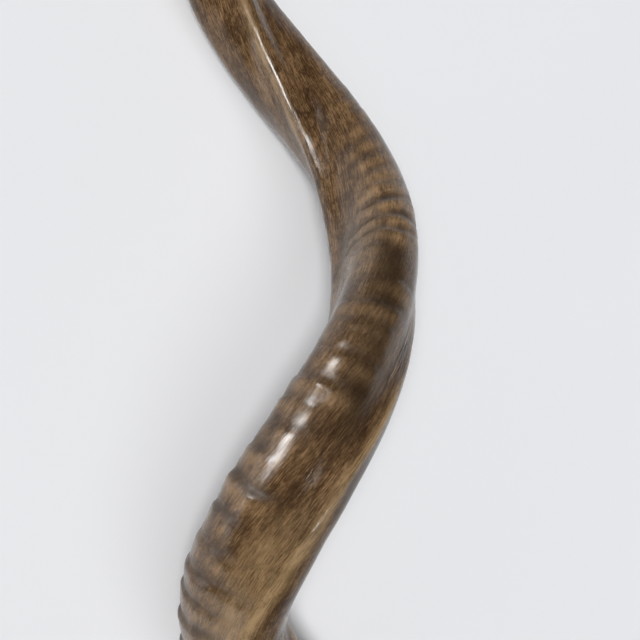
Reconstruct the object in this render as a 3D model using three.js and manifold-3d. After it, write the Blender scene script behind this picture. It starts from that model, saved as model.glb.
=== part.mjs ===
/**
 * The horn of a greater kudu bull: one hollow sheath of keratin, lying on its side.
 *
 * The horn is a tapering corkscrew. Its centre line climbs round an upright axis, and a section with two keels
 * is lofted along it, from the flat cut at the base to the tip. A second loft, a wall's thickness inside the
 * first, is cut out of the base as the socket. Turn angles are counted from the middle of the horn, where the
 * centre line crosses the +X side of the axis, and are negative towards the base. The finished horn is then laid
 * on the ground.
 *
 * Units are millimetres, +Z is up. The origin is under the middle of the horn, on the ground.
 */
import * as THREE from 'three';
import { LoftGeometry } from 'three/addons/geometries/LoftGeometry.js';
import { mergeVertices } from 'three/addons/utils/BufferGeometryUtils.js';
import Module from 'manifold-3d';

const DEGREE = Math.PI / 180;

// How far the horn turns, from the cut base to the tip.
const BASE_TURN = -289 * DEGREE;
const TIP_TURN = 497 * DEGREE;

// The rise of one full turn, and the share of it that is lost per radian towards each end.
const PITCH = 475.8;
const TIP_RISE_LOSS = 0.039;
const TIP_RISE_LOSS_FROM = 80 * DEGREE;
const BASE_RISE_LOSS = 0.04;
const BASE_RISE_LOSS_FROM = -143 * DEGREE;

// How far the centre line runs from the corkscrew's axis.
const COIL_RADIUS = 52.48;
const COIL_TAPER = 0.1502;
const WIDEST_COIL_RADIUS = 70.8;
const CAP_SHARPNESS = 6;
const TIP_COIL_RADIUS = 26;
const TIP_COIL_FROM = 92 * DEGREE;
const BASE_COIL_SHARE = 0.317;
const BASE_COIL_SPAN = 121 * DEGREE;

// How thick the horn is. The taper's exponent is under 1, so the horn thins fastest near its tip.
const BASE_DIAMETER = 71;
const TAPER_EXPONENT = 0.69;
const TIP_DIAMETER = 9;
const TIP_ROUNDNESS = 60;

// The section's outline: a leaning oval with bumps, as shares of the mean radius.
const OVAL = { share: 0.228, at: 110.8 * DEGREE };
const TRIANGLE = { share: 0.047, at: 114.3 * DEGREE };
const ROUNDED_KEEL = { share: 0.05, at: 58.7 * DEGREE, width: 26.7 * DEGREE };
const SHARP_KEEL = { share: 0.315, at: 190.7 * DEGREE, width: 19.4 * DEGREE };
const FLAT_FACE = { share: -0.3, at: 120.2 * DEGREE, width: 30 * DEGREE };
const FLUTE = { share: -0.102, at: 250 * DEGREE, width: 25.9 * DEGREE };

// The keels slip slowly backwards round the horn as it climbs.
const KEEL_DRIFT = -0.081;
const KEEL_DRIFT_SPAN = 4;

// The socket in the base, where the bone core sat.
const WALL = 7;
const SOCKET_DEPTH = 112;
const SOCKET_ROUNDNESS = 3;
const SOCKET_END = 0.985;
const CUT_OVERSHOOT = 4;

// The small steps by which directions and lengths along the centre line are worked out.
const DIRECTION_STEP = 0.001;
const LENGTH_STEP = 0.2 * DEGREE;

// The attitude that the horn takes on level ground.
const LIE_ROLL = -111.8 * DEGREE;
const LIE_TILT = 3.18 * DEGREE;

// How finely the surface is divided.
const COLUMNS = 36;
const OUTER_SECTIONS = 84;
const SOCKET_SECTIONS = 10;
const TIP_CROWDING = 1.25;
const LAST_SECTION = 0.999;

const wasm = await Module();
wasm.setup();

/** Eases from 0 at x = 0 to 1 at x = 1, and stays there. */
function ease( x ) {

	return THREE.MathUtils.smoothstep( x, 0, 1 );

}

/** The share of the horn, 0 at the base and 1 at the tip, that lies below a turn angle. */
function shareAt( turn ) {

	return ( turn - BASE_TURN ) / ( TIP_TURN - BASE_TURN );

}

/** The distance of the centre line from the corkscrew's axis. */
function coilRadius( turn ) {

	const tapered = COIL_RADIUS * ( 1 - COIL_TAPER * turn );
	const crowding = Math.max( tapered / WIDEST_COIL_RADIUS, 0 ) ** CAP_SHARPNESS;
	const capped = tapered / ( 1 + crowding ) ** ( 1 / CAP_SHARPNESS );
	const towardsTip = ease( ( turn - TIP_COIL_FROM ) / ( TIP_TURN - TIP_COIL_FROM ) );
	const outOfBase = ease( ( turn - BASE_TURN ) / BASE_COIL_SPAN );
	const withTip = THREE.MathUtils.lerp( capped, TIP_COIL_RADIUS, towardsTip );
	return withTip * THREE.MathUtils.lerp( BASE_COIL_SHARE, 1, outOfBase );

}

/** The height of the centre line along the corkscrew's axis. */
function climb( turn ) {

	const pastTipEnd = Math.max( 0, turn - TIP_RISE_LOSS_FROM );
	const pastBaseEnd = Math.max( 0, BASE_RISE_LOSS_FROM - turn );
	const slowed = turn - TIP_RISE_LOSS / 2 * pastTipEnd ** 2 + BASE_RISE_LOSS / 2 * pastBaseEnd ** 2;
	return PITCH / ( 2 * Math.PI ) * slowed;

}

/** A point of the centre line. */
function centreAt( turn ) {

	const radius = coilRadius( turn );
	return new THREE.Vector3( radius * Math.cos( turn ), radius * Math.sin( turn ), climb( turn ) );

}

/** The horn's mean radius. */
function meanRadius( turn ) {

	const share = Math.max( shareAt( turn ), 0 );
	const tapered = BASE_DIAMETER / 2 * ( 1 - share ) ** TAPER_EXPONENT;
	const blunt = TIP_DIAMETER / 2 * share ** 2 * Math.sqrt( 1 - share ** TIP_ROUNDNESS );
	return Math.hypot( tapered, blunt );

}

/** A smooth bump in the outline, at its full share at its own angle. */
function bump( feature, angle ) {

	const offset = THREE.MathUtils.euclideanModulo( angle - feature.at + Math.PI, 2 * Math.PI ) - Math.PI;
	return feature.share * Math.exp( - (( offset / feature.width ) ** 2 ) );

}

/** The outline's distance from its middle, as a share of the mean radius. */
function outline( angle ) {

	const oval = OVAL.share * Math.cos( 2 * ( angle - OVAL.at ) );
	const triangle = TRIANGLE.share * Math.cos( 3 * ( angle - TRIANGLE.at ) );
	const keels = bump( ROUNDED_KEEL, angle ) + bump( SHARP_KEEL, angle );
	const hollows = bump( FLAT_FACE, angle ) + bump( FLUTE, angle );
	return 1 + oval + triangle + keels + hollows;

}

/** One section: a ring of points square to the centre line, at the outline less a wall, then shrunk. */
function sectionAt( turn, wall = 0, shrink = 1 ) {

	const centre = centreAt( turn );
	const along = centreAt( turn + DIRECTION_STEP ).sub( centreAt( turn - DIRECTION_STEP ) ).normalize();
	const outward = new THREE.Vector3( Math.cos( turn ), Math.sin( turn ), 0 );
	outward.addScaledVector( along, - outward.dot( along ) ).normalize();
	const sideways = new THREE.Vector3().crossVectors( along, outward );
	const drift = KEEL_DRIFT * KEEL_DRIFT_SPAN * Math.tanh( turn / KEEL_DRIFT_SPAN );
	const points = [];
	for ( let column = 0; column < COLUMNS; column ++ ) {

		const angle = column / COLUMNS * 2 * Math.PI;
		const distance = ( meanRadius( turn ) * outline( angle - drift ) - wall ) * shrink;
		const point = centre.clone();
		point.addScaledVector( outward, distance * Math.cos( angle ) );
		point.addScaledVector( sideways, distance * Math.sin( angle ) );
		points.push( point );

	}

	return points;

}

/** The turn angle that lies a given length along the centre line from the base. */
function turnAtLength( length ) {

	let turn = BASE_TURN;
	let walked = 0;
	while ( walked < length ) {

		walked += centreAt( turn + LENGTH_STEP ).distanceTo( centreAt( turn ) );
		turn += LENGTH_STEP;

	}

	return turn;

}

/** The socket's sections, from just outside the rim to its rounded end. */
function socketSections() {

	const mouth = sectionAt( BASE_TURN, WALL );
	const outOfRim = centreAt( BASE_TURN ).sub( centreAt( BASE_TURN + DEGREE ) ).setLength( CUT_OVERSHOOT );
	const sections = [ mouth.map( ( point ) => point.clone().add( outOfRim ) ) ];
	for ( let index = 0; index <= SOCKET_SECTIONS; index ++ ) {

		const depthShare = SOCKET_END * Math.sin( index / SOCKET_SECTIONS * Math.PI / 2 );
		const shrink = Math.sqrt( 1 - depthShare ** SOCKET_ROUNDNESS );
		sections.push( sectionAt( turnAtLength( depthShare * SOCKET_DEPTH ), WALL, shrink ) );

	}

	return sections;

}

/** The outside's sections, from the rim to the tip, closer together near the tip. */
function outerSections() {

	const sections = [];
	for ( let index = 0; index <= OUTER_SECTIONS; index ++ ) {

		const share = LAST_SECTION * ( 1 - ( 1 - index / OUTER_SECTIONS ) ** TIP_CROWDING );
		sections.push( sectionAt( THREE.MathUtils.lerp( BASE_TURN, TIP_TURN, share ) ) );

	}

	return sections;

}

/** A closed loft through the sections, as a solid that can be cut. */
function loftSolid( sections ) {

	const loft = new LoftGeometry( sections, { capStart: true, capEnd: true } );
	const skin = new THREE.BufferGeometry().copy( loft );
	skin.deleteAttribute( 'normal' );
	skin.deleteAttribute( 'uv' );
	const merged = mergeVertices( skin );
	const vertProperties = merged.getAttribute( 'position' ).array;
	const triVerts = Uint32Array.from( merged.index.array );
	return new wasm.Manifold( new wasm.Mesh( { numProp: 3, vertProperties, triVerts } ) );

}

/** A solid's surface as a geometry. */
function solidGeometry( solid ) {

	const mesh = solid.getMesh();
	const positions = new THREE.BufferAttribute( Float32Array.from( mesh.vertProperties ), 3 );
	const triangles = new THREE.BufferAttribute( Uint32Array.from( mesh.triVerts ), 1 );
	const geometry = new THREE.BufferGeometry();
	geometry.setAttribute( 'position', positions );
	geometry.setIndex( triangles );
	geometry.computeVertexNormals();
	return geometry;

}

/** The horn with its socket, standing round the corkscrew's upright axis. */
function makeHorn() {

	const hollow = loftSolid( outerSections() ).subtract( loftSolid( socketSections() ) );
	const material = new THREE.MeshStandardMaterial( { color: 0x6a5644, roughness: 0.35, metalness: 0 } );
	const horn = new THREE.Mesh( solidGeometry( hollow ), material );
	horn.name = 'horn';
	return horn;

}

/** Lays the standing horn on the ground, its tip towards +X, over the origin. */
function layDown( horn ) {

	horn.rotation.z = LIE_ROLL;
	const lying = new THREE.Group();
	lying.rotation.y = Math.PI / 2 + LIE_TILT;
	lying.add( horn );
	const box = new THREE.Box3().setFromObject( lying, true );
	const middle = box.getCenter( new THREE.Vector3() );
	lying.position.set( - middle.x, - middle.y, - box.min.z );
	return lying;

}

const kuduHorn = new THREE.Group();
kuduHorn.add( layDown( makeHorn() ) );
kuduHorn.updateMatrixWorld( true );

export default kuduHorn;
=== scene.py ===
"""The finished look of a kudu horn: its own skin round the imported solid, a floor, lights and a camera."""

import logging
import math
import random
from dataclasses import dataclass, field
from enum import Enum

import bmesh
import bpy
import numpy as np
from mathutils import Euler, Matrix, Vector, noise


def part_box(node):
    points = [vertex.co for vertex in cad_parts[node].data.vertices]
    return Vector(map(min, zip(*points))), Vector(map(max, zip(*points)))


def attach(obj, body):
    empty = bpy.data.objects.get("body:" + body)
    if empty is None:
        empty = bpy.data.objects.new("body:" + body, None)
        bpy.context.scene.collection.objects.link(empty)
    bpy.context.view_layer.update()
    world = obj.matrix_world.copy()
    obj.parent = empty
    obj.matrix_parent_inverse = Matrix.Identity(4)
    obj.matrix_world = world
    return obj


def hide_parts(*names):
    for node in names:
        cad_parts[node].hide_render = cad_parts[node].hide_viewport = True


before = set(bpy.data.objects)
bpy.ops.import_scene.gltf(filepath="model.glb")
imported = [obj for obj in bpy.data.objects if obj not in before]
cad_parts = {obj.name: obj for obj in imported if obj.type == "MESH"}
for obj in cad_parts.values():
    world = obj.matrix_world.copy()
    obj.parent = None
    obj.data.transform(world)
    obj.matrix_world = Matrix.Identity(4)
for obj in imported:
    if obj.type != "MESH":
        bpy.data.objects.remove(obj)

LOG = logging.getLogger("kudu_horn")
MM = 0.001
DEGREE = math.pi / 180
Colour = tuple[float, float, float]
Triple = tuple[float, float, float]
Range = tuple[float, float]
Numbers = np.ndarray | float


class Skin(Enum):
    """The kinds of surface on the horn, with the number that marks each one on the mesh."""

    OUTSIDE = 0.0
    SAWN_RIM = 1.0
    SOCKET = 2.0


# ---- Small helpers ----


def ease(value: Numbers) -> Numbers:
    """Eases one number or many from 0 at 0 to 1 at 1, and holds them on either side."""
    held = np.clip(value, 0.0, 1.0)
    return held * held * (3.0 - 2.0 * held)


def wrapped(angle: Numbers) -> Numbers:
    """Brings an angle in radians to between minus and plus half a turn."""
    return (angle + math.pi) % (2.0 * math.pi) - math.pi


def hump(distance: Numbers, width: Numbers) -> Numbers:
    """A smooth bump, 1 at no distance and falling away over the width."""
    return np.exp(-((distance / width) ** 2))


def strip(angle: np.ndarray, at: Numbers, width: Numbers) -> np.ndarray:
    """A soft strip along the horn, 1 at its middle. The middle and the width are in degrees."""
    return hump(wrapped(angle - at * DEGREE), width * DEGREE)


def deselect_all() -> None:
    """Leaves object mode with nothing selected."""
    if bpy.context.mode != "OBJECT":
        bpy.ops.object.mode_set(mode="OBJECT")
    bpy.ops.object.select_all(action="DESELECT")


def lattice_noise(points: np.ndarray, size: float, octaves: int) -> np.ndarray:
    """Smooth noise with finer and finer octaves.

    Args:
        points: The places to read it at, one row each.
        size: The size of the largest blotches, in the units of the points.
        octaves: How many times it is repeated at half the size.

    Returns:
        One number for each point, mostly between -0.6 and 0.6.
    """
    octave_shift = 7.3
    total = np.zeros(len(points))
    for octave in range(octaves):
        places = points * (2.0**octave / size) + octave_shift * octave
        values = np.array([noise.noise(Vector(place)) for place in places])
        total += values / 2.0**octave
    return total


# ---- Shader tools ----


class Wire:
    """A number in a node tree. Python's own operators on it add the Math nodes of an expression."""

    def __init__(self, bench: "Bench", socket: bpy.types.NodeSocket) -> None:
        """Keeps the socket and the bench that it is on."""
        self.bench = bench
        self.socket = socket

    def _math(self, operation: str, first: "Wire | float", second: "Wire | float") -> "Wire":
        """Adds one Math node of two inputs."""
        return self.bench.node("ShaderNodeMath", {"operation": operation}, {0: first, 1: second})

    def __add__(self, other: "Wire | float") -> "Wire":
        """self + other"""
        return self._math("ADD", self, other)

    __radd__ = __add__

    def __sub__(self, other: "Wire | float") -> "Wire":
        """self - other"""
        return self._math("SUBTRACT", self, other)

    def __rsub__(self, other: float) -> "Wire":
        """other - self"""
        return self._math("SUBTRACT", other, self)

    def __mul__(self, other: "Wire | float") -> "Wire":
        """self * other"""
        return self._math("MULTIPLY", self, other)

    __rmul__ = __mul__

    def rise(self, low: float, high: float) -> "Wire":
        """The value eased from 0 at low to 1 at high.

        Args:
            low: Where it starts to rise. It may be above high, for a fall.
            high: Where it has risen.

        Returns:
            The eased value.
        """
        settings = {"interpolation_type": "SMOOTHSTEP"}
        inputs = {"Value": self, "From Min": low, "From Max": high}
        return self.bench.node("ShaderNodeMapRange", settings, inputs)

    def clamp(self) -> "Wire":
        """The value held between 0 and 1."""
        return self.bench.node("ShaderNodeClamp", {}, {"Value": self})


class Bench:
    """An emptied node tree and the tools that lay out its nodes."""

    def __init__(self, owner: bpy.types.Material | bpy.types.World) -> None:
        """Empties the owner's node tree.

        Args:
            owner: The new material or world.
        """
        owner.use_nodes = True
        self.owner = owner
        self.tree = owner.node_tree
        self.tree.nodes.clear()

    def node(self, kind: str, settings: dict, inputs: dict, output: int | str = 0) -> Wire:
        """Adds one node.

        Args:
            kind: Its type.
            settings: Its own settings, set before its inputs.
            inputs: Values or wires for its inputs, by name or number.
            output: The name or number of the output to hand on.

        Returns:
            That output.
        """
        made = self.tree.nodes.new(kind)
        for name, value in settings.items():
            setattr(made, name, value)
        for name, value in inputs.items():
            if isinstance(value, Wire):
                self.tree.links.new(value.socket, made.inputs[name])
            else:
                made.inputs[name].default_value = value
        return Wire(self, made.outputs[output])

    def mix(self, base: "Wire | Colour", over: "Wire | Colour", factor: "Wire | float") -> Wire:
        """Lays one colour over another.

        Args:
            base: The colour at factor 0.
            over: The colour at factor 1.
            factor: How much of the second shows.

        Returns:
            The mixed colour.
        """
        first, second = (value if isinstance(value, Wire) else (*value, 1.0) for value in (base, over))
        inputs = {0: factor, 6: first, 7: second}
        return self.node("ShaderNodeMix", {"data_type": "RGBA", "clamp_factor": True}, inputs, 2)

    def stretch(self, vector: Wire, sizes: Triple) -> Wire:
        """Divides a vector by a pattern's size along each axis."""
        scale = tuple(1.0 / size for size in sizes)
        return self.node("ShaderNodeVectorMath", {"operation": "MULTIPLY"}, {0: vector, 1: scale})

    def noise(self, vector: Wire, detail: float, roughness: float = 0.5, distortion: float = 0.0) -> Wire:
        """Smooth noise, about 0.5 in the middle, with one blotch to a unit of the vector.

        Args:
            vector: Where it is read.
            detail: How many finer octaves it has.
            roughness: How strong they are.
            distortion: How much it swirls.

        Returns:
            The noise.
        """
        inputs = {"Vector": vector, "Scale": 1.0, "Detail": detail, "Roughness": roughness}
        return self.node("ShaderNodeTexNoise", {}, inputs | {"Distortion": distortion})

    def attribute(self, name: str, output: str = "Fac") -> Wire:
        """Reads a value that the mesh carries."""
        return self.node("ShaderNodeAttribute", {"attribute_name": name}, {}, output)

    def finish(self, shader: Wire) -> bpy.types.Material | bpy.types.World:
        """Puts the shader on the surface.

        Args:
            shader: The finished shader.

        Returns:
            The material or world.
        """
        kind = "World" if isinstance(self.owner, bpy.types.World) else "Material"
        made = self.tree.nodes.new(f"ShaderNodeOutput{kind}")
        self.tree.links.new(shader.socket, made.inputs["Surface"])
        return self.owner


# ---- The horn's shape ----


@dataclass(frozen=True)
class OutlineBump:
    """A smooth bump or hollow in the section's outline.

    Attributes:
        share: Its height, as a share of the mean radius.
        at, width: The angle of its middle, and how wide it is, in degrees.
    """

    share: float
    at: float
    width: float

    def height(self, angle: Numbers) -> Numbers:
        """Its height at an angle in radians."""
        return self.share * strip(angle, self.at, self.width)


@dataclass(frozen=True)
class HornShape:
    """The corkscrew and its section, in millimetres and degrees.

    A turn angle says how far round the corkscrew a place is, 0 at mid-horn. Fields hold it in degrees and
    methods take it in radians.

    Attributes:
        base_turn, tip_turn: The turn angles of the sawn base and the tip.
        pitch: The rise of one full turn.
        tip_rise_loss, base_rise_loss: The share of the rise that is lost with each radian near either end.
        tip_rise_loss_from, base_rise_loss_from: The turn angles beyond which it is.
        coil_radius: How far the centre line runs from the corkscrew's axis at mid-horn.
        coil_taper: The share of it that is lost with each radian towards the tip.
        widest_coil_radius, cap_sharpness: What it levels off at towards the base, and how sharply.
        tip_coil_radius, tip_coil_from: What it ends with, and from which turn angle it goes over to that.
        base_coil_share, base_coil_span: The share of it left at the base, and how far up it is whole again.
        base_diameter: The mean thickness at the base.
        taper_exponent: How the thickness falls off. Below 1 it falls late and fast.
        tip_diameter, tip_roundness: The thickness of the blunt tip, and how late it closes.
        keel_drift, keel_drift_span: How far the section turns with each radian, and for how many it does.
        oval, triangle: The outline's two-sided and three-sided parts, as a share of the radius and an angle.
        bumps: The keels and hollows on top of both.
        lie_roll, lie_tilt: How far the horn is turned about its axis, and how far the axis dips, as it lies.
    """

    base_turn: float = -289.0
    tip_turn: float = 497.0
    pitch: float = 475.8
    tip_rise_loss: float = 0.039
    tip_rise_loss_from: float = 80.0
    base_rise_loss: float = 0.04
    base_rise_loss_from: float = -143.0
    coil_radius: float = 52.48
    coil_taper: float = 0.1502
    widest_coil_radius: float = 70.8
    cap_sharpness: float = 6.0
    tip_coil_radius: float = 26.0
    tip_coil_from: float = 92.0
    base_coil_share: float = 0.317
    base_coil_span: float = 121.0
    base_diameter: float = 71.0
    taper_exponent: float = 0.69
    tip_diameter: float = 9.0
    tip_roundness: float = 60.0
    keel_drift: float = -0.081
    keel_drift_span: float = 4.0
    oval: Range = (0.228, 110.8)
    triangle: Range = (0.047, 114.3)
    bumps: tuple[OutlineBump, ...] = (
        OutlineBump(0.05, 58.7, 26.7),
        OutlineBump(0.315, 190.7, 19.4),
        OutlineBump(-0.3, 120.2, 30.0),
        OutlineBump(-0.102, 250.0, 25.9),
    )
    lie_roll: float = -111.8
    lie_tilt: float = 3.18

    def share(self, turn: Numbers) -> Numbers:
        """The share of the turns, 0 at the base and 1 at the tip, that lies below a turn angle."""
        first = self.base_turn * DEGREE
        last = self.tip_turn * DEGREE
        return np.clip((turn - first) / (last - first), 0.0, 1.0)

    def distance_out(self, turn: Numbers) -> Numbers:
        """How far the centre line runs from the corkscrew's axis, in millimetres."""
        tapered = self.coil_radius * (1.0 - self.coil_taper * turn)
        crowding = np.maximum(tapered / self.widest_coil_radius, 0.0) ** self.cap_sharpness
        capped = tapered / (1.0 + crowding) ** (1.0 / self.cap_sharpness)
        tip_from = self.tip_coil_from * DEGREE
        towards_tip = ease((turn - tip_from) / (self.tip_turn * DEGREE - tip_from))
        out_of_base = ease((turn - self.base_turn * DEGREE) / (self.base_coil_span * DEGREE))
        with_tip = capped + (self.tip_coil_radius - capped) * towards_tip
        return with_tip * (self.base_coil_share + (1.0 - self.base_coil_share) * out_of_base)

    def climb(self, turn: Numbers) -> Numbers:
        """How high the centre line has risen, in millimetres."""
        past_tip_end = np.maximum(0.0, turn - self.tip_rise_loss_from * DEGREE)
        past_base_end = np.maximum(0.0, self.base_rise_loss_from * DEGREE - turn)
        lost = self.tip_rise_loss / 2.0 * past_tip_end**2 - self.base_rise_loss / 2.0 * past_base_end**2
        return self.pitch / (2.0 * math.pi) * (turn - lost)

    def centre(self, turn: Numbers) -> np.ndarray:
        """The centre line's points in metres, the last axis being x, y and z."""
        out = self.distance_out(turn)
        return np.stack([out * np.cos(turn), out * np.sin(turn), self.climb(turn)], axis=-1) * MM

    def mean_radius(self, turn: Numbers) -> Numbers:
        """The section's mean radius in metres."""
        share = self.share(turn)
        tapered = self.base_diameter / 2.0 * (1.0 - share) ** self.taper_exponent
        blunt = self.tip_diameter / 2.0 * share**2 * np.sqrt(1.0 - share**self.tip_roundness)
        return np.hypot(tapered, blunt) * MM

    def outline(self, angle: Numbers) -> Numbers:
        """The outline's distance from its middle, as a share of the mean radius."""
        oval = self.oval[0] * np.cos(2.0 * (angle - self.oval[1] * DEGREE))
        triangle = self.triangle[0] * np.cos(3.0 * (angle - self.triangle[1] * DEGREE))
        return 1.0 + oval + triangle + sum(bump.height(angle) for bump in self.bumps)

    def section(self, turn: float, radius: float) -> Matrix:
        """The place, attitude and size of one section of the lying horn.

        Args:
            turn: Its turn angle.
            radius: Its mean radius in metres.

        Returns:
            The matrix that takes the outline, drawn round the origin, to its place.
        """
        step = 0.001
        centre = Vector(self.centre(turn))
        along = (Vector(self.centre(turn + step)) - Vector(self.centre(turn - step))).normalized()
        outward = Vector((math.cos(turn), math.sin(turn), 0.0))
        outward = (outward - along * outward.dot(along)).normalized()
        facing = Matrix((outward, along.cross(outward), along)).transposed().to_4x4()
        drift = self.keel_drift * self.keel_drift_span * math.tanh(turn / self.keel_drift_span)
        standing = Matrix.Translation(centre) @ facing @ Matrix.Rotation(drift, 4, "Z")
        roll = Matrix.Rotation(self.lie_roll * DEGREE, 4, "Z")
        lay_down = Matrix.Rotation(math.pi / 2.0 + self.lie_tilt * DEGREE, 4, "Y")
        return lay_down @ roll @ (standing @ Matrix.Scale(radius, 4))

    def lengths(self, turns: np.ndarray) -> np.ndarray:
        """The length in metres along the centre line from the first of these turn angles to each."""
        points = self.centre(turns)
        steps = np.linalg.norm(np.diff(points, axis=0), axis=1)
        return np.concatenate([[0.0], np.cumsum(steps)])


@dataclass(frozen=True)
class Patch:
    """A stretch of the skin that fades out on all sides.

    Attributes:
        at, width: The angle of its middle round the horn, and how wide it is, in degrees.
        turn, span: The turn angle of its middle, and how far it runs either way from there, in radians.
    """

    at: float
    width: float
    turn: float
    span: float

    def amount(self, turn: np.ndarray, angle: np.ndarray) -> np.ndarray:
        """How much of it there is at each point, from 0 to 1."""
        return strip(angle, self.at, self.width) * hump(turn - self.turn, self.span)


@dataclass(frozen=True)
class KeelRidge(Patch):
    """A stretch of a keel that stands up as a narrow ridge.

    Attributes:
        height: How high it stands, in millimetres. Below 0 it flattens the keel.
        sharp: Whether it comes to an edge.
    """

    height: float
    sharp: bool = False

    def raised(self, turn: np.ndarray, angle: np.ndarray) -> np.ndarray:
        """How far it raises each point, in metres."""
        offset = wrapped(angle - self.at * DEGREE) / DEGREE
        across = np.exp(-np.abs(offset) / self.width) if self.sharp else hump(offset, self.width)
        return self.height * MM * across * hump(turn - self.turn, self.span)


@dataclass(frozen=True)
class GrowthRing:
    """A growth ring: a groove across the horn with a raised lip on its lower side.

    Attributes:
        turn: The turn angle where it crosses the front of the horn, in radians.
        groove: The groove's depth in millimetres.
        lip: The lip's height in millimetres.
        pale: How pale the band below the groove is, from 0 to 1.
        middle, reach: The angle where it is strongest, and how far it runs either way, in degrees.
        edge: How wide the step down from its lip is, in millimetres.
    """

    turn: float
    groove: float
    lip: float
    pale: float = 0.3
    middle: float = -45.0
    reach: float = 62.0
    edge: float = 1.6


@dataclass(frozen=True)
class RingMarks:
    """What growth rings do to the surface, one number for each point.

    Attributes:
        height: How far they raise it, in metres.
        pale: How pale they leave it.
        dark: How much darker their grooves are made.
    """

    height: np.ndarray
    pale: np.ndarray
    dark: np.ndarray


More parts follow.
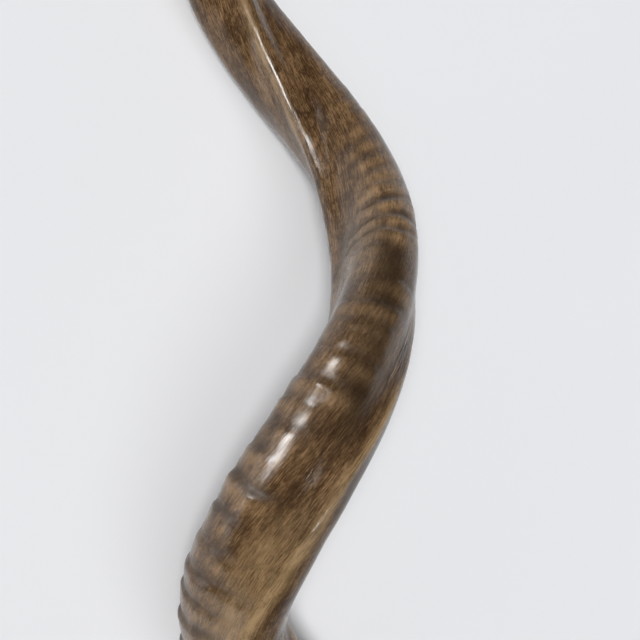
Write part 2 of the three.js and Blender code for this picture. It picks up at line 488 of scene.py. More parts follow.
@dataclass
class GrowthRings:
    """All the growth rings: those on the front listed one by one, and those below and above them by rule.

    Attributes:
        seed: The seed of the rings made by rule.
        stretch: How much longer the horn's outside is than its rise.
        lip_fall: How far below its step a lip fades away, in millimetres.
        groove_width, dark_width: How wide a groove and its darkening are besides the step, in millimetres.
        dark_rate: How much darker a groove is made for each millimetre of its depth.
        pale_offset, pale_width: How far below the groove the pale band is, and how wide, in millimetres.
        bend_from: The angle round the horn from which the rings bend, in degrees.
        bend_slope: How far they bend along the horn, in radians for each radian round it.
        wobble: How far a ring strays from its line, in radians.
        patchiness, patch_limits: How unevenly strong a ring is, and the least and the most that makes of it.
        low_end: How far above the base the rings made by rule stop, in radians.
        high_end: The turn angle at which they stop above, in radians.
        high_fade: What each ring above keeps of the one below it.
        front: The rings listed one by one.
    """

    seed: int = 7
    stretch: float = 1.2
    lip_fall: float = 9.0
    groove_width: float = 0.7
    dark_width: float = 2.0
    dark_rate: float = 1.6
    pale_offset: float = 6.0
    pale_width: float = 4.2
    bend_from: float = -45.0
    bend_slope: float = 0.04
    wobble: float = 0.03
    patchiness: float = 0.25
    patch_limits: Range = (0.25, 1.4)
    low_end: float = 0.1
    high_end: float = 2.6
    high_fade: float = 0.88
    front: tuple[GrowthRing, ...] = (
        GrowthRing(0.70, 0.10, 0.1, 0.6, -96.0, 26.0, 3.0),
        GrowthRing(0.55, 0.15, 0.2, 0.8, -92.0, 26.0, 2.6),
        GrowthRing(0.41, 0.15, 0.2, 0.9, -86.0, 28.0, 2.4),
        GrowthRing(0.28, 0.20, 0.2, 1.0, -80.0, 30.0, 2.4),
        GrowthRing(0.15, 0.25, 0.3, 1.0, -78.0, 34.0, 2.0),
        GrowthRing(0.010, 0.45, 0.6, 1.0, -66.0, 46.0, 1.2),
        GrowthRing(-0.135, 0.50, 0.7, 1.0, -72.0, 54.0, 1.3),
        GrowthRing(-0.240, 0.50, 0.7, 0.7, -78.0, 58.0, 1.3),
        GrowthRing(-0.35, 0.20, 0.3, 0.7, -98.0, 32.0, 1.8),
        GrowthRing(-0.46, 0.10, 0.2, 0.5, -84.0, 26.0, 2.0),
        GrowthRing(-0.60, 0.15, 0.35, 0.4, -20.0, 45.0, 1.2),
        GrowthRing(-0.76, 0.30, 0.6, 0.6, -55.0, 40.0, 1.4),
        GrowthRing(-0.88, 0.20, 0.3, 0.3, -45.0, 45.0, 2.0),
        GrowthRing(-0.98, 0.15, 0.3, 0.25, -40.0, 45.0, 2.0),
        GrowthRing(-1.10, 0.20, 0.7, 0.35, -40.0, 50.0, 2.0),
        GrowthRing(-1.28, 0.30, 1.2, 0.8, -50.0, 45.0, 1.8),
        GrowthRing(-1.41, 0.25, 0.8, 0.7, -62.0, 34.0, 2.2),
        GrowthRing(-1.58, 0.15, 0.6, 0.3, -45.0, 36.0, 2.6),
        GrowthRing(-1.74, 0.45, 0.9, 0.7, -62.0, 22.0, 1.8),
        GrowthRing(-1.93, 0.60, 2.1, 0.8, -45.0, 42.0, 1.5),
        GrowthRing(-2.14, 0.50, 0.8, 0.5, -50.0, 32.0, 1.4),
        GrowthRing(-2.34, 0.25, 0.9, 0.5, -35.0, 50.0, 2.0),
    )

    def all(self, shape: HornShape) -> list[GrowthRing]:
        """Adds the rings below and above the front ones.

        Args:
            shape: The horn's shape, which says where its base is.

        Returns:
            All the rings.
        """
        dice = random.Random(self.seed)
        rings = list(self.front)
        turn = self.front[-1].turn
        while turn > shape.base_turn * DEGREE + self.low_end:
            turn -= dice.uniform(0.15, 0.25)
            groove = dice.uniform(0.2, 0.6)
            lip = dice.uniform(1.0, 2.4)
            pale = dice.uniform(0.3, 0.6)
            middle = dice.uniform(-50.0, -20.0)
            edge = dice.uniform(1.0, 2.4)
            rings.append(GrowthRing(turn, groove, lip, pale, middle, reach=80.0, edge=edge))
        turn = self.front[0].turn
        fade = 1.0
        while turn < self.high_end:
            turn += dice.uniform(0.12, 0.18)
            fade *= self.high_fade
            depth = 0.2 * fade
            pale = 0.4 * fade
            middle = dice.uniform(-80.0, -55.0)
            rings.append(GrowthRing(turn, depth, depth, pale, middle, reach=36.0))
        return rings

    def press(self, shape: HornShape, turn: np.ndarray, angle: np.ndarray) -> RingMarks:
        """Works out what the rings do at points of the surface.

        Args:
            shape: The horn's shape.
            turn: Each point's turn angle.
            angle: Each point's angle round the horn.

        Returns:
            The height, paleness and darkness that the rings give.
        """
        dice = random.Random(self.seed + 1)
        rate = shape.pitch / (2.0 * math.pi) * self.stretch
        height, pale, dark = (np.zeros(len(turn)) for _ in range(3))
        left = np.minimum(wrapped(angle - self.bend_from * DEGREE), 0.0)
        for ring in self.all(shape):
            stray = np.zeros(len(turn))
            unevenness = np.zeros(len(turn))
            for count in (3, 5, 9):
                phase = dice.uniform(0.0, 2.0 * math.pi)
                size = dice.uniform(0.4, 1.0)
                stray += size * np.sin(count * angle + phase) / count
                unevenness += size * np.sin(2.0 * count * angle - phase)
            line = ring.turn + self.bend_slope * left + self.wobble * stray
            distance = (turn - line) * rate
            around = wrapped(angle - ring.middle * DEGREE) / (ring.reach * DEGREE)
            strength = np.exp(-(around**4)) * np.clip(1.0 + self.patchiness * unevenness, *self.patch_limits)
            step = 0.5 - 0.5 * np.tanh(distance / ring.edge)
            lip = ring.lip * step * hump(np.minimum(distance, 0.0), self.lip_fall)
            groove = ring.groove * hump(distance - ring.edge, self.groove_width + ring.edge)
            # A groove is made darker the deeper it is.
            groove_dark = min(1.0, ring.groove * self.dark_rate)
            height += strength * (lip - groove)
            pale += strength * ring.pale * hump(distance + self.pale_offset, self.pale_width)
            dark += strength * groove_dark * hump(distance - ring.edge, self.dark_width + ring.edge)
        return RingMarks(height * MM, np.clip(pale, 0.0, 1.0), np.clip(dark, 0.0, 1.0))


# ---- Finishes ----


@dataclass(frozen=True)
class KeratinFinish:
    """Polished horn: brown with fine pale fibres along it, pale keels and ring crests, and a matt socket.

    Attributes:
        dark, brown: The darkest brown of the fibres, and the common brown.
        tan, keel: The pale fibres and ring crests, and the worn keels.
        amber_and_painted_shade: The dark stretch on the front, partly darker horn and partly painted shade.
        soot, dust: The dirt in grooves and cracks, and the grey bloom in the hollows.
        tip, sawn, lining: The polished tip, the sawn rim and the socket.
        blotch, speckle, fleck, fibre, crack: The sizes of the markings in metres, two across and one along.
        polish: The roughness of clean polished horn.
        speckle_roughness, groove_roughness, split_roughness, sawn_roughness: What the markings add to it.
        refraction: The index of refraction of its polish.
        bump_strength, bump_height: How strongly the fine relief shows, and its height in metres.
    """

    dark: Colour = (0.042, 0.019, 0.006)
    brown: Colour = (0.130, 0.069, 0.028)
    tan: Colour = (0.345, 0.210, 0.103)
    keel: Colour = (0.440, 0.295, 0.148)
    amber_and_painted_shade: Colour = (0.034, 0.018, 0.0065)
    deep_brown: Colour = (0.024, 0.012, 0.005)
    painted_sheen: Colour = (0.340, 0.300, 0.260)
    tip: Colour = (0.420, 0.330, 0.220)
    sawn: Colour = (0.330, 0.235, 0.150)
    lining: Colour = (0.120, 0.085, 0.055)
    blotch: Triple = (0.014, 0.014, 0.030)
    speckle: Triple = (0.0026, 0.0026, 0.0048)
    fleck: Triple = (0.0006, 0.0006, 0.0018)
    fibre: Triple = (0.0005, 0.0005, 0.0110)
    crack: Triple = (0.0034, 0.0034, 0.0420)
    polish: float = 0.12
    speckle_roughness: float = 0.12
    groove_roughness: float = 0.40
    split_roughness: float = 0.5
    sawn_roughness: float = 0.4
    refraction: float = 1.54
    bump_strength: float = 0.35
    bump_height: float = 0.0004

    def material(self) -> bpy.types.Material:
        """Lays out the horn's material.

        Returns:
            The material.
        """
        bench = Bench(bpy.data.materials.new("polished_horn"))
        grain = bench.attribute("grain", "Vector")
        blotch = bench.noise(bench.stretch(grain, self.blotch), 4.0, 0.6, 0.6)
        speckle = bench.noise(bench.stretch(grain, self.speckle), 3.0, 0.6, 0.3)
        fleck = bench.noise(bench.stretch(grain, self.fleck), 2.0, 0.6, 0.2)
        fibre = bench.noise(bench.stretch(grain, self.fibre), 2.0, 0.6, 0.15)
        crack = bench.noise(bench.stretch(grain, self.crack), 2.0, 0.5, 0.8)
        pale_ring, dark_ring, keel, flank = map(bench.attribute, ("pale_ring", "dark_ring", "keel", "flank"))
        shade, cracked, painted_sheen, tip, kind = map(bench.attribute, ("shade", "cracked", "painted_sheen", "tip", "skin"))

        colour = bench.mix(self.dark, self.brown, (blotch * 0.8 + speckle * 0.4).rise(0.36, 0.8))
        strand = fibre * 0.6 + fleck * 0.35 + speckle * 0.25
        pale = (strand + blotch * 0.3).rise(0.70, 0.98)
        colour = bench.mix(colour, self.tan, pale * 0.8)
        colour = bench.mix(colour, self.dark, strand.rise(0.62, 0.44) * 0.8)
        # Dark stretch on the front: partly darker horn, partly painted shade on the side turned from the
        # light.
        colour = bench.mix(colour, self.amber_and_painted_shade, shade * (1.1 - 0.4 * fleck))
        band = pale_ring * (speckle * 0.4 + fleck * 0.4 + fibre * 0.6).rise(0.42, 0.86)
        colour = bench.mix(colour, self.tan, band)
        worn = keel * (fibre * 0.5 + fleck * 0.2 + blotch * 0.6).rise(0.38, 0.80)
        colour = bench.mix(colour, self.keel, worn * 0.9)
        # Painted sheen: a grey reflection laid into the colour of the hollows.
        colour = bench.mix(colour, self.painted_sheen, painted_sheen * (0.2 + 0.4 * speckle))
        # Darker on the flank beyond the first keel.
        colour = bench.mix(colour, self.deep_brown, flank * 0.6)
        # Darker in the ring grooves, the more so the deeper they are.
        colour = bench.mix(colour, self.deep_brown, dark_ring * 0.65)
        split = cracked * ((crack - 0.5) * (crack - 0.5)).rise(0.0042, 0.0012)
        colour = bench.mix(colour, self.deep_brown, split)
        colour = bench.mix(colour, self.tip, tip * (blotch * 0.5 + fibre * 0.5).rise(0.25, 0.6))
        rim = (kind - 1.0) * (kind - 1.0)
        colour = bench.mix(colour, self.sawn, (rim * 4.0).rise(1.0, 0.0) * (0.6 + 0.4 * fibre))
        colour = bench.mix(colour, self.lining, kind.rise(1.3, 1.8))

        rough = self.polish + self.speckle_roughness * speckle + self.groove_roughness * dark_ring
        rough = rough + self.split_roughness * split + self.sawn_roughness * kind.rise(0.3, 1.0)
        relief = fibre * 0.5 + fleck * 0.3 + speckle * 0.5 - split
        inputs = {"Strength": self.bump_strength, "Distance": self.bump_height, "Height": relief}
        bump = bench.node("ShaderNodeBump", {}, inputs, "Normal")
        inputs = {"Base Color": colour, "Roughness": rough.clamp(), "Normal": bump, "IOR": self.refraction}
        shader = bench.node("ShaderNodeBsdfPrincipled", {}, inputs)
        return bench.finish(shader)


@dataclass(frozen=True)
class FloorFinish:
    """A pale painted board.

    Attributes:
        pale: Its lighter tone.
        shade: Its darker tone.
        patch: The size of its faint patches in metres.
    """

    pale: Colour = (0.90, 0.91, 0.93)
    shade: Colour = (0.87, 0.88, 0.90)
    patch: float = 0.25

    def material(self) -> bpy.types.Material:
        """Lays out the floor's material.

        Returns:
            The material.
        """
        bench = Bench(bpy.data.materials.new("pale_board"))
        place = bench.node("ShaderNodeTexCoord", {}, {}, "Object")
        cloud = bench.noise(bench.stretch(place, (self.patch,) * 3), 2.0)
        colour = bench.mix(self.shade, self.pale, cloud)
        shader = bench.node("ShaderNodeBsdfPrincipled", {}, {"Base Color": colour, "Roughness": 0.9})
        return bench.finish(shader)


# ---- The horn ----


@dataclass
class HornSheath:
    """The whole horn: one sheath with its rings, keels, sawn rim and socket.

    Attributes:
        shape: The corkscrew that it follows.
        rings: Its growth rings.
        finish: Its finish.
        corners: How many corners a section's outline has before it is smoothed.
        row_places, row_steps: Lengths along the horn and the rows' spacing there, in millimetres.
        wall: The thickness of the sheath at the sawn rim, in millimetres.
        rim_edge: How far in from each of the rim's edges the next row lies, in millimetres.
        socket_depth, socket_rows: How deep the socket is, in millimetres, and how many rows its wall has.
        socket_roundness, socket_closed: How blunt its end is, and the share of the depth where that closes.
        tip_share: The share of the turns at which the last row before the tip lies.
        ridges: The raised and flattened edges of the keels.
        uneven_height, uneven_size: The skin's unevenness: its height in millimetres and size in metres.
        keels: The angle and width of each keel's wavering edge, in degrees.
        waver_heights, waver_size: How high each wavers in millimetres, and the size of that in metres.
        flatness: What each of the two patterns is squeezed by, outwards, round and along the horn.
        cracks, low_hollow, high_hollow: The cracked patch, and the hollows where a grey sheen is painted on.
        low_turn: The turn angle below which the horn is more worn, in radians.
        base_margin, tip_margin: How far from either end the relief takes to come up, in millimetres.
    """

    shape: HornShape = field(default_factory=HornShape)
    rings: GrowthRings = field(default_factory=GrowthRings)
    finish: KeratinFinish = field(default_factory=KeratinFinish)
    corners: int = 52
    row_places: tuple[float, ...] = (0.0, 620.0, 900.0, 1060.0, 1100.0)
    row_steps: tuple[float, ...] = (2.05, 2.05, 4.6, 3.6, 0.8)
    wall: float = 7.0
    rim_edge: float = 1.0
    socket_depth: float = 112.0
    socket_rows: int = 22
    socket_roundness: float = 3.0
    socket_closed: float = 0.998
    tip_share: float = 0.9995
    ridges: tuple[KeelRidge, ...] = (
        KeelRidge(56.5, 5.0, -2.9, 1.5, 1.9, sharp=True),
        KeelRidge(56.0, 12.0, -1.5, 0.55, 1.5),
        KeelRidge(192.0, 13.0, 0.9, 1.2, 0.8),
        KeelRidge(196.5, 6.5, 0.8, 0.4, -0.65),
        KeelRidge(188.0, 12.0, 0.1, 0.55, 1.6),
    )
    uneven_height: float = 0.45
    uneven_size: float = 0.017
    keels: tuple[Range, Range] = ((55.0, 5.0), (190.7, 8.0))
    waver_heights: Range = (0.35, 0.15)
    waver_size: float = 0.004
    flatness: tuple[Triple, Triple] = ((1.0, 1.0, 0.6), (1.0, 1.0, 0.25))
    cracks: Patch = Patch(32.0, 17.0, -0.98, 0.3)
    low_hollow: Patch = Patch(-125.0, 42.0, -0.55, 0.45)
    high_hollow: Patch = Patch(150.0, 16.0, 0.85, 0.35)
    low_turn: float = -1.7
    base_margin: float = 10.0
    tip_margin: float = 60.0

    def build(self) -> bpy.types.Object:
        """Models the horn, gives it its relief and dresses it.

        Returns:
            The finished piece.
        """
        piece = self._start_base()
        self._draw_out_horn(piece)
        self._hollow_base(piece)
        self._smooth(piece)
        self._rest_in_place(piece)
        self._press_relief(piece)
        piece.data.materials.append(self.finish.material())
        return piece

    def _start_base(self) -> bpy.types.Object:
        """Adds a circle and pushes its corners out to the outline.

        Returns:
            The new piece, in edit mode.
        """
        deselect_all()
        bpy.ops.mesh.primitive_circle_add(vertices=self.corners, radius=1.0, fill_type="NOTHING")
        piece = bpy.context.active_object
        piece.name = "kudu_horn"
        piece.data.name = "kudu_horn"
        for name in ("turn", "round_cos", "round_sin", "skin"):
            piece.data.attributes.new(name, "FLOAT", "POINT")
        bpy.ops.object.mode_set(mode="EDIT")
        bpy.ops.mesh.select_mode(type="VERT")
        corners = bmesh.from_edit_mesh(piece.data).verts
        for corner in corners:
            bpy.ops.mesh.select_all(action="DESELECT")
            corner.select_set(True)
            out = float(self.shape.outline(math.atan2(corner.co.y, corner.co.x)))
            bpy.ops.transform.resize(value=(out, out, out), center_override=(0.0, 0.0, 0.0))
        bpy.ops.mesh.select_all(action="SELECT")
        first = self.shape.base_turn * DEGREE
        base = self.shape.section(first, float(self.shape.mean_radius(first)))
        self._carry(Matrix.Identity(4), base)
        self._mark(piece, base, first, Skin.OUTSIDE)
        return piece

    def _carry(self, start: Matrix, end: Matrix) -> None:
        """Turns, sizes and moves the selection from one section's place to another's.

        Args:
            start: The section that the selection is at.
            end: The section that it goes to.
        """
        turns = (end.to_quaternion() @ start.to_quaternion().inverted()).to_euler("XYZ")
        size = end.median_scale / start.median_scale
        pivot = start.translation
        about = {"orient_type": "GLOBAL", "center_override": pivot}
        for axis, angle in zip("XYZ", turns):
            bpy.ops.transform.rotate(value=-angle, orient_axis=axis, **about)
        bpy.ops.transform.resize(value=(size, size, size), center_override=pivot)
        bpy.ops.transform.translate(value=end.translation - pivot)

    def _mark(self, piece: bpy.types.Object, section: Matrix, turn: float, skin: Skin) -> None:
        """Notes on the selected corners where on the horn they are.

        Args:
            piece: The horn.
            section: The section that they lie on.
            turn: Its turn angle.
            skin: The kind of surface.
        """
        middle = 1e-3
        mesh = bmesh.from_edit_mesh(piece.data)
        layers = mesh.verts.layers.float
        turns, cosines, sines, skins = (layers[n] for n in ("turn", "round_cos", "round_sin", "skin"))
        back = section.inverted()
        for corner in mesh.verts:
            if corner.select:
                flat = (back @ corner.co).to_2d()
                flat = flat.normalized() if flat.length > middle else Vector((0.0, 0.0))
                corner[turns], corner[skins] = turn, skin.value
                corner[cosines], corner[sines] = flat

    def _row_turns(self) -> np.ndarray:
        """The turn angles of the rows, from the base to the tip.

        Returns:
            The angles in radians.
        """
        samples = 8000
        first = self.shape.base_turn * DEGREE
        span = (self.shape.tip_turn * DEGREE - first) * self.tip_share
        fine = np.linspace(first, first + span, samples)
        lengths = self.shape.lengths(fine)
        steps = np.interp(lengths / MM, self.row_places, self.row_steps) * MM
        counted = np.concatenate([[0.0], np.cumsum(np.diff(lengths) / steps[:-1])])
        rows = round(counted[-1])
        return np.interp(np.linspace(0.0, counted[-1], rows + 1), counted, fine)

    def _draw_out_horn(self, piece: bpy.types.Object) -> None:
        """Extrudes the outline row by row along the corkscrew and closes the tip.

        Args:
            piece: The horn, in edit mode with its base selected.
        """
        turns = self._row_turns()
        here = self.shape.section(float(turns[0]), float(self.shape.mean_radius(turns[0])))
        for turn in turns[1:]:
            there = self.shape.section(float(turn), float(self.shape.mean_radius(turn)))
            bpy.ops.mesh.extrude_region_move()
            self._carry(here, there)
            self._mark(piece, there, float(turn), Skin.OUTSIDE)
            here = there
        bpy.ops.mesh.extrude_region_move()
        bpy.ops.mesh.merge(type="CENTER")
        self._mark(piece, here, self.shape.tip_turn * DEGREE, Skin.OUTSIDE)

    def _hollow_base(self, piece: bpy.types.Object) -> None:
        """Closes the base with a flat rim and pushes the socket into it.

        Args:
            piece: The horn, in edit mode.
        """
        samples = 4000
        longest_socket = 3.0
        shape = self.shape
        first = shape.base_turn * DEGREE
        bpy.ops.mesh.select_all(action="DESELECT")
        mesh = bmesh.from_edit_mesh(piece.data)
        for edge in mesh.edges:
            if edge.is_boundary:
                edge.select_set(True)
        bpy.ops.mesh.edge_face_add()
        radius = float(shape.mean_radius(first))
        base = shape.section(first, radius)
        for step in (self.rim_edge, self.wall - 2.0 * self.rim_edge, self.rim_edge):
            bpy.ops.mesh.select_mode(type="FACE")
            bpy.ops.mesh.inset(thickness=step * MM, depth=0.0)
            bpy.ops.mesh.select_mode(type="VERT")
            self._mark(piece, base, first, Skin.SAWN_RIM)
        fine = np.linspace(first, first + longest_socket, samples)
        lengths = shape.lengths(fine)
        here = shape.section(first, radius - self.wall * MM)
        for row in range(1, self.socket_rows + 1):
            depth = math.sin(row / self.socket_rows * math.pi / 2.0) * self.socket_closed
            turn = float(np.interp(depth * self.socket_depth * MM, lengths, fine))
            shrink = math.sqrt(1.0 - depth**self.socket_roundness)
            there = shape.section(turn, (float(shape.mean_radius(turn)) - self.wall * MM) * shrink)
            bpy.ops.mesh.select_mode(type="FACE")
            bpy.ops.mesh.extrude_region_move()
            self._carry(here, there)
            bpy.ops.mesh.select_mode(type="VERT")
            self._mark(piece, there, turn, Skin.SOCKET)
            here = there
        bpy.ops.mesh.merge(type="CENTER")
        bpy.ops.mesh.select_all(action="SELECT")
        bpy.ops.mesh.normals_make_consistent(inside=False)
        bpy.ops.object.mode_set(mode="OBJECT")

    def _smooth(self, piece: bpy.types.Object) -> None:
        """Applies one level of subdivision."""
        modifier = piece.modifiers.new("smooth", "SUBSURF")
        modifier.levels = 1
        modifier.render_levels = 1
        bpy.ops.object.modifier_apply(modifier=modifier.name)
        bpy.ops.object.shade_smooth()

    def _rest_in_place(self, piece: bpy.types.Object) -> None:
        """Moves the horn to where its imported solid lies."""
        low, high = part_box("horn")
        points = read_values(piece.data.vertices, "co", 3)
        middle = (points.min(0) + points.max(0)) / 2.0
        shift = Vector(((low.x + high.x) / 2.0 - middle[0], (low.y + high.y) / 2.0 - middle[1], 0.0))
        shift.z = low.z - points[:, 2].min()
        bpy.ops.transform.translate(value=shift)
        bpy.ops.object.transform_apply(location=True, rotation=True, scale=True)

    def _press_relief(self, piece: bpy.types.Object) -> None:
        """Presses rings, keel ridges and unevenness into the skin, and notes what the finish needs.

        Args:
            piece: The smoothed horn.
        """
        samples = 4000
        data = piece.data
        noted = (data.attributes[name].data for name in ("turn", "round_cos", "round_sin", "skin"))
        turn, cosine, sine, skin = (read_values(items, "value") for items in noted)
        angle = np.arctan2(sine, cosine)
        outside = 1.0 - np.clip(skin, 0.0, 1.0)
        table = np.linspace(self.shape.base_turn * DEGREE, self.shape.tip_turn * DEGREE, samples)
        lengths = self.shape.lengths(table)
        length = np.interp(turn, table, lengths)
        marks = self.rings.press(self.shape, turn, angle)

        tube = self._unrolled(float(self.shape.mean_radius(0.0)), angle, length)
        relief = self.uneven_height * lattice_noise(tube * self.flatness[0], self.uneven_size, 2)
        waver = lattice_noise(tube * self.flatness[1], self.waver_size, 2)
        for height, keel in zip(self.waver_heights, self.keels):
            relief += height * waver * strip(angle, *keel)
        relief = relief * MM + marks.height + sum(ridge.raised(turn, angle) for ridge in self.ridges)
        relief *= outside * ease(length / (self.base_margin * MM))
        relief *= ease((lengths[-1] - length) / (self.tip_margin * MM))
        self._raise_skin(data, relief)

        notes = self._wear(turn, angle)
        notes |= {"pale_ring": marks.pale, "dark_ring": marks.dark}
        for name, values in notes.items():
            write_values(data, name, "FLOAT", "value", values * outside)
        grain = self._unrolled(self.shape.mean_radius(turn), angle, length)
        write_values(data, "grain", "FLOAT_VECTOR", "vector", grain)

    def _wear(self, turn: np.ndarray, angle: np.ndarray) -> dict[str, np.ndarray]:
        """Works out where the skin is worn, cracked or darker, where the front's dark stretch lies, partly
        painted shade, and where a grey sheen is painted into the hollows.

        Args:
            turn: Each corner's turn angle.
            angle: Its angle round the horn.

        Returns:
            How much of each there is on every corner, by name.
        """
        low = ease((self.low_turn - turn) / 0.4)
        first_keel = strip(angle, 57.0 + 5.0 * low, 6.0 + 2.5 * low)
        second_keel = 0.85 * strip(angle, 181.5, 5.5)
        # A paler stretch low on the front, below the low turn, is given the keels' pale colour.
        low_glow = 0.48 * strip(angle, 34.0, 32.0) * ease((self.low_turn - turn) / 0.5)
        # The darker flank beyond the first keel.
        flank = strip(angle, 78.0, 11.0) * (1.0 - first_keel) * (1.0 - 0.6 * low)
        # The front's dark stretch, partly darker horn and partly painted shade, spiralling with the turn.
        shade_start, shade_end = -1.68, -0.14
        shade = strip(angle, -86.0 - 66.0 * turn, 30.0)
        shade *= ease((turn - shade_start) / 0.4) * ease((shade_end - turn) / 0.18)
        # Where a grey sheen, a painted reflection, goes into the hollows.
        low_sheen = 0.7 * self.low_hollow.amount(turn, angle)
        high_sheen = 0.75 * self.high_hollow.amount(turn, angle)
        return {
            "cracked": self.cracks.amount(turn, angle),
            "keel": np.maximum(np.maximum(first_keel, second_keel), low_glow),
            "shade": shade,
            "flank": flank,
            "painted_sheen": np.maximum(low_sheen, high_sheen),
            "tip": ease((self.shape.share(turn) - 0.93) / 0.06),
        }

    @staticmethod
    def _unrolled(radius: Numbers, angle: np.ndarray, length: np.ndarray) -> np.ndarray:
        """The places of the corners on a straight horn of some radius, one row each."""
        return np.stack([radius * np.cos(angle), radius * np.sin(angle), length], axis=1)

    @staticmethod
    def _raise_skin(data: bpy.types.Mesh, relief: np.ndarray) -> None:
        """Moves each corner out along its normal and sets the horn back on the ground.

        Args:
            data: The horn's mesh.
            relief: How far each corner goes, in metres.
        """
        points = read_values(data.vertices, "co", 3)
        points += read_values(data.vertex_normals, "vector", 3) * relief[:, None]
        points[:, 2] -= points[:, 2].min()
        data.vertices.foreach_set("co", points.astype(np.float32).ravel())
        data.update()


def read_values(items: bpy.types.bpy_prop_collection, key: str, width: int = 1) -> np.ndarray:
    """Reads one value of each item of a mesh.

    Args:
        items: The items.
        key: The value's own name.
        width: How many numbers it has.

    Returns:
        One number for each item, or one row where it has more than one.
    """
    values = np.zeros(len(items) * width, np.float32)
    items.foreach_get(key, values)
    return values.astype(float).reshape((-1, width) if width > 1 else -1)


def write_values(data: bpy.types.Mesh, name: str, kind: str, key: str, values: np.ndarray) -> None:
    """Gives a mesh a named value on its corners."""
    data.attributes.new(name, kind, "POINT").data.foreach_set(key, values.astype(np.float32).ravel())


# ---- The studio ----


class Throw(Enum):
    """What a light shows in."""

    SHINE = "shine"
    SHADE = "shade"

    def limit(self, light: bpy.types.Object) -> None:
        """Hides a light from the camera, and from what it isn't meant for."""
        light.visible_camera = False
        light.visible_glossy = self is Throw.SHINE
        light.visible_diffuse = self is Throw.SHADE


@dataclass(frozen=True)
class Daylight:
    """Even light from far above, with soft shadows and no reflection of its own.

    Attributes:
        name: Its name.
        towards: The direction that it comes from.
        width: How wide it is, in degrees.
        strength: Its strength.
    """

    name: str
    towards: Triple
    width: float
    strength: float

    def add(self) -> None:
        """Hangs the light."""
        data = bpy.data.lights.new(self.name, "SUN")
        data.energy = self.strength
        data.angle = self.width * DEGREE
        light = bpy.data.objects.new(self.name, data)
        bpy.context.scene.collection.objects.link(light)
        light.rotation_euler = Vector(self.towards).to_track_quat("Z", "Y").to_euler()
        Throw.SHADE.limit(light)


@dataclass(frozen=True)
class Lamp:
    """A rectangular light that faces the horn and shows in its shine only.

    Attributes:
        name: Its name.
        towards: The direction from the horn to the lamp.
        distance: How far off it is, in metres.
        size: Its width and height in metres.
        watts: Its power.
    """

    name: str
    towards: Triple
    distance: float
    size: Range
    watts: float

    def add(self, subject: Vector) -> None:
        """Hangs the lamp, hidden from the camera.

        Args:
            subject: The point that it faces.
        """
        data = bpy.data.lights.new(self.name, "AREA")
        data.shape = "RECTANGLE"
        data.size, data.size_y = self.size
        data.energy = self.watts
        lamp = bpy.data.objects.new(self.name, data)
        bpy.context.scene.collection.objects.link(lamp)
        direction = Vector(self.towards).normalized()
        lamp.location = subject + direction * self.distance
        lamp.rotation_euler = direction.to_track_quat("Z", "Y").to_euler()
        Throw.SHINE.limit(lamp)


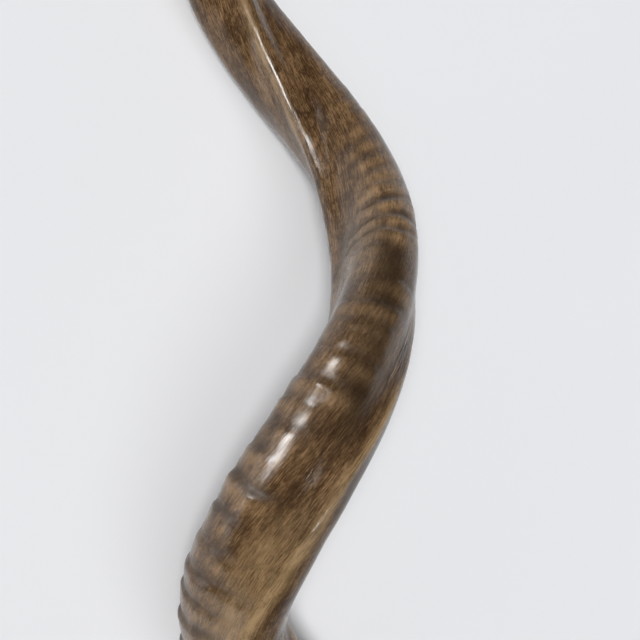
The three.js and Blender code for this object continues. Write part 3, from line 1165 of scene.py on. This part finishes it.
@dataclass
class Studio:
    """The pale floor, the lights and the camera.

    Attributes:
        subject: The point of the horn that the lights face, in metres.
        eye: The camera's place in metres.
        gaze: The camera's turns about X, Y and Z in degrees.
        lens: Its focal length in millimetres, on a 36 mm sensor.
        floor_width, floor_cuts: The floor's width in metres, and how many cuts divide it each way.
        walls, ceiling: The light from low down on all sides, and from above.
        ceiling_from: The heights of a direction between which the walls turn into the ceiling.
        daylight, lamps: The lights from far above, which give the shade, and the lamps, which give the shine.
    """

    subject: Triple = (-0.145, -0.023, 0.071)
    eye: Triple = (-0.09135, 0.41833, 1.17289)
    gaze: Triple = (0.215, -21.966, -97.468)
    lens: float = 111.4
    floor_width: float = 30.0
    floor_cuts: int = 8
    walls: Colour = (0.72, 0.73, 0.75)
    ceiling: Colour = (0.07, 0.07, 0.074)
    ceiling_from: Range = (0.02, 0.28)
    daylight: tuple[Daylight, ...] = (
        Daylight("front_daylight", (0.045, 0.371, 0.927), 12.0, 1.85),
        Daylight("soft_daylight", (0.0, 0.08, 0.99), 56.0, 0.85),
    )
    lamps: tuple[Lamp, ...] = (
        Lamp("window", (0.18, 0.78, 0.60), 1.5, (0.34, 0.60), 16.0),
        Lamp("side_window", (0.56, 0.54, 0.63), 1.5, (0.24, 0.32), 6.5),
        Lamp("low_window", (-0.74, -0.38, 0.56), 1.8, (0.16, 0.14), 2.4),
        Lamp("left_softbox", (0.1, 0.98, 0.06), 2.2, (2.0, 0.30), 5.0),
    )

    def build(self) -> bpy.types.Object:
        """Sets the scene up round the horn.

        Returns:
            The floor.
        """
        self._light_world()
        for light in self.daylight:
            light.add()
        for lamp in self.lamps:
            lamp.add(Vector(self.subject))
        self._set_camera()
        return self._lay_floor()

    def _light_world(self) -> None:
        """Gives the world its even pale light."""
        bench = Bench(bpy.data.worlds.new("pale_room"))
        direction = bench.node("ShaderNodeTexCoord", {}, {}, "Generated")
        height = bench.node("ShaderNodeSeparateXYZ", {}, {"Vector": direction}, "Z")
        colour = bench.mix(self.walls, self.ceiling, height.rise(*self.ceiling_from))
        bpy.context.scene.world = bench.finish(bench.node("ShaderNodeBackground", {}, {"Color": colour}))
        bpy.context.scene.view_settings.view_transform = "Standard"

    def _set_camera(self) -> None:
        """Places the camera."""
        data = bpy.data.cameras.new("camera")
        data.sensor_width = 36.0
        data.lens = self.lens
        data.clip_end = 100.0
        camera = bpy.data.objects.new("camera", data)
        bpy.context.scene.collection.objects.link(camera)
        camera.location = self.eye
        camera.rotation_euler = Euler([turn * DEGREE for turn in self.gaze])
        bpy.context.scene.camera = camera

    def _lay_floor(self) -> bpy.types.Object:
        """Lays a wide flat floor under the horn.

        Returns:
            The floor.
        """
        deselect_all()
        bpy.ops.mesh.primitive_plane_add(size=self.floor_width)
        floor = bpy.context.active_object
        floor.name = "floor"
        bpy.ops.object.mode_set(mode="EDIT")
        bpy.ops.mesh.select_all(action="SELECT")
        bpy.ops.mesh.subdivide(number_cuts=self.floor_cuts)
        bpy.ops.object.mode_set(mode="OBJECT")
        floor.data.materials.append(FloorFinish().material())
        return floor


def main() -> None:
    """Builds the horn and its studio."""
    logging.basicConfig(level=logging.INFO, format="%(name)s: %(message)s")
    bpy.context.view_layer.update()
    horn = HornSheath().build()
    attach(horn, "root")
    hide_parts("horn")
    LOG.info("%s has %d faces", horn.name, len(horn.data.polygons))
    studio = Studio()
    floor = studio.build()
    LOG.info("%s laid, %d lights hung", floor.name, len(studio.daylight) + len(studio.lamps))
    LOG.info("sizes written")


if __name__ == "__main__":
    main()
